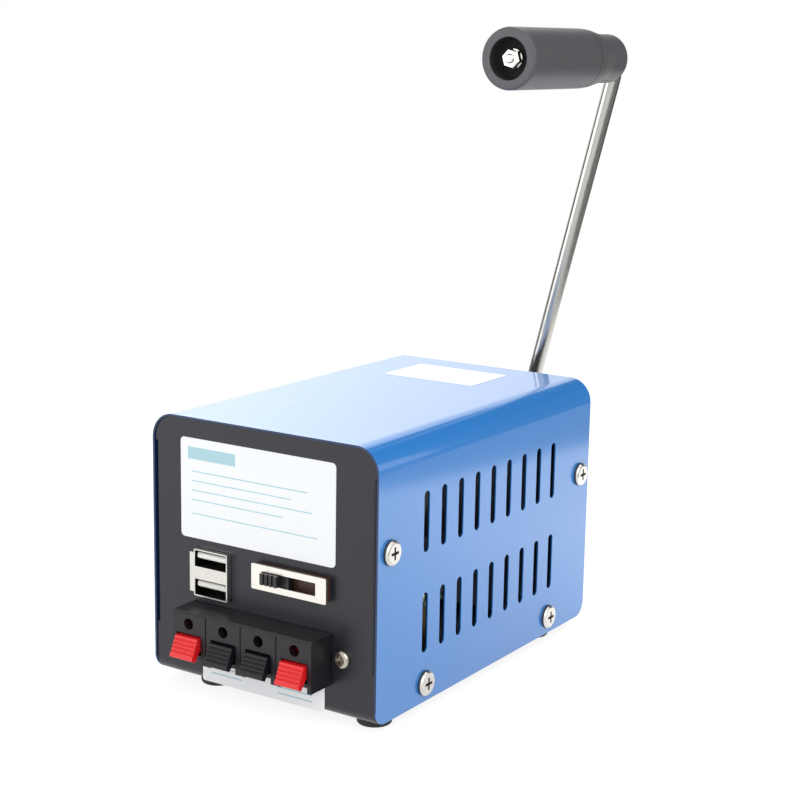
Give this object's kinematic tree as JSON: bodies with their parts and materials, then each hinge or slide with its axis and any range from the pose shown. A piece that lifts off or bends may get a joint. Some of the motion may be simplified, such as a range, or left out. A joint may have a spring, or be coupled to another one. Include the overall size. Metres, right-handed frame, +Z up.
{
  "type": "hand crank charger",
  "caption": "Hand crank charger: vented sheet metal box with USB sockets, a slide switch, spring wire terminals and a bent rod crank with a revolving grip at the back.",
  "frame": {"origin": "middle of the whole part's footprint with the crank as stored, on the plane its feet stand on", "axes": "+Z up, front panel towards -Y, crank at +Y, +X to the viewer's right when facing the front panel"},
  "size_m": [0.0916, 0.1664, 0.2054],
  "materials": {
    "blue_paint": "gloss",
    "black_paint": "satin",
    "nickel": "gloss",
    "stainless": "polished",
    "steel": "satin",
    "dark_steel": "satin",
    "brass": "satin",
    "copper": "gloss",
    "aluminium": "satin",
    "rubber": "matte",
    "white_plastic": "matte",
    "black_plastic": "satin",
    "grip_plastic": "satin",
    "red_plastic": "gloss",
    "phenolic": "satin",
    "board_green": "satin"
  },
  "bodies": {
    "housing": {"cover": "blue_paint", "chassis": "black_paint", "cover_screws": "nickel", "feet": "rubber", "usb_shell": "nickel", "usb_insulators": "white_plastic", "usb_contacts": "brass", "switch_base": "phenolic", "switch_plate": "nickel", "switch_lugs": "brass", "terminal_block": "black_plastic", "terminal_plate": "phenolic", "terminal_contacts": "brass", "panel_screws": "nickel", "panel_nuts": "nickel", "layshaft_pin": "steel", "rear_gear_plate": "steel", "front_gear_plate": "steel", "gear_posts": "steel", "post_screws": "nickel", "shaft_bush": "brass", "motor_can": "steel", "motor_cap": "black_plastic", "motor_tags": "brass", "motor_screws": "nickel", "board": "board_green", "board_standoffs": "brass", "board_screws": "nickel", "capacitors": "black_plastic", "coil": "copper", "heatsink": "aluminium", "regulator": "black_plastic", "bridge_rectifier": "black_plastic"},
    "crank": {"crank_shaft": "steel", "crank_hub": "steel", "hub_screw": "dark_steel", "crank_rod": "stainless", "grip_neck": "grip_plastic", "grip_washer": "nickel", "grip_nut": "nickel", "crank_gear": "steel", "shaft_spacers": "brass"},
    "grip": {"grip_sleeve": "grip_plastic"},
    "layshaft": {"layshaft_gear": "steel"},
    "rotor": {"motor_shaft": "steel", "motor_pinion": "brass"},
    "slider": {"switch_slider": "black_plastic"},
    "lever_1": {"terminal_lever_1": "red_plastic"},
    "lever_2": {"terminal_lever_2": "black_plastic"},
    "lever_3": {"terminal_lever_3": "black_plastic"},
    "lever_4": {"terminal_lever_4": "red_plastic"}
  },
  "joints": [
    {"name": "crank_turn", "type": "hinge", "parent": "housing", "child": "crank", "pos_m": [-0.00172, 0.0558, 0.0451], "axis": [0, 1, 0], "continuous": true},
    {"name": "grip_spin", "type": "hinge", "parent": "crank", "child": "grip", "pos_m": [0.03612, 0.0258, 0.19572], "axis": [0, 1, 0], "continuous": true},
    {"name": "layshaft_turn", "type": "hinge", "parent": "housing", "child": "layshaft", "pos_m": [-0.0233, 0.0458, 0.02427], "axis": [0, 1, 0], "continuous": true},
    {"name": "rotor_turn", "type": "hinge", "parent": "housing", "child": "rotor", "pos_m": [-0.01969, 0.0408, 0.04475], "axis": [0, 1, 0], "continuous": true},
    {"name": "switch_slide", "type": "slide", "parent": "housing", "child": "slider", "axis": [1, 0, 0], "range_m": [0, 0.0133]},
    {"name": "lever_1_press", "type": "hinge", "parent": "housing", "child": "lever_1", "pos_m": [-0.02182, -0.0752, 0.02], "axis": [1, 0, 0], "range_deg": [0, 15], "stiffness_Nm_per_rad": 0.12, "springref_deg": -8.59},
    {"name": "lever_2_press", "type": "hinge", "parent": "housing", "child": "lever_2", "pos_m": [-0.00842, -0.0752, 0.02], "axis": [1, 0, 0], "range_deg": [0, 15], "stiffness_Nm_per_rad": 0.12, "springref_deg": -8.59},
    {"name": "lever_3_press", "type": "hinge", "parent": "housing", "child": "lever_3", "pos_m": [0.00498, -0.0752, 0.02], "axis": [1, 0, 0], "range_deg": [0, 15], "stiffness_Nm_per_rad": 0.12, "springref_deg": -8.59},
    {"name": "lever_4_press", "type": "hinge", "parent": "housing", "child": "lever_4", "pos_m": [0.01838, -0.0752, 0.02], "axis": [1, 0, 0], "range_deg": [0, 15], "stiffness_Nm_per_rad": 0.12, "springref_deg": -8.59}
  ],
  "couplings": [
    {"joint": "layshaft_turn", "follows": "crank_turn", "ratio": -4},
    {"joint": "rotor_turn", "follows": "crank_turn", "ratio": 13.333}
  ]
}
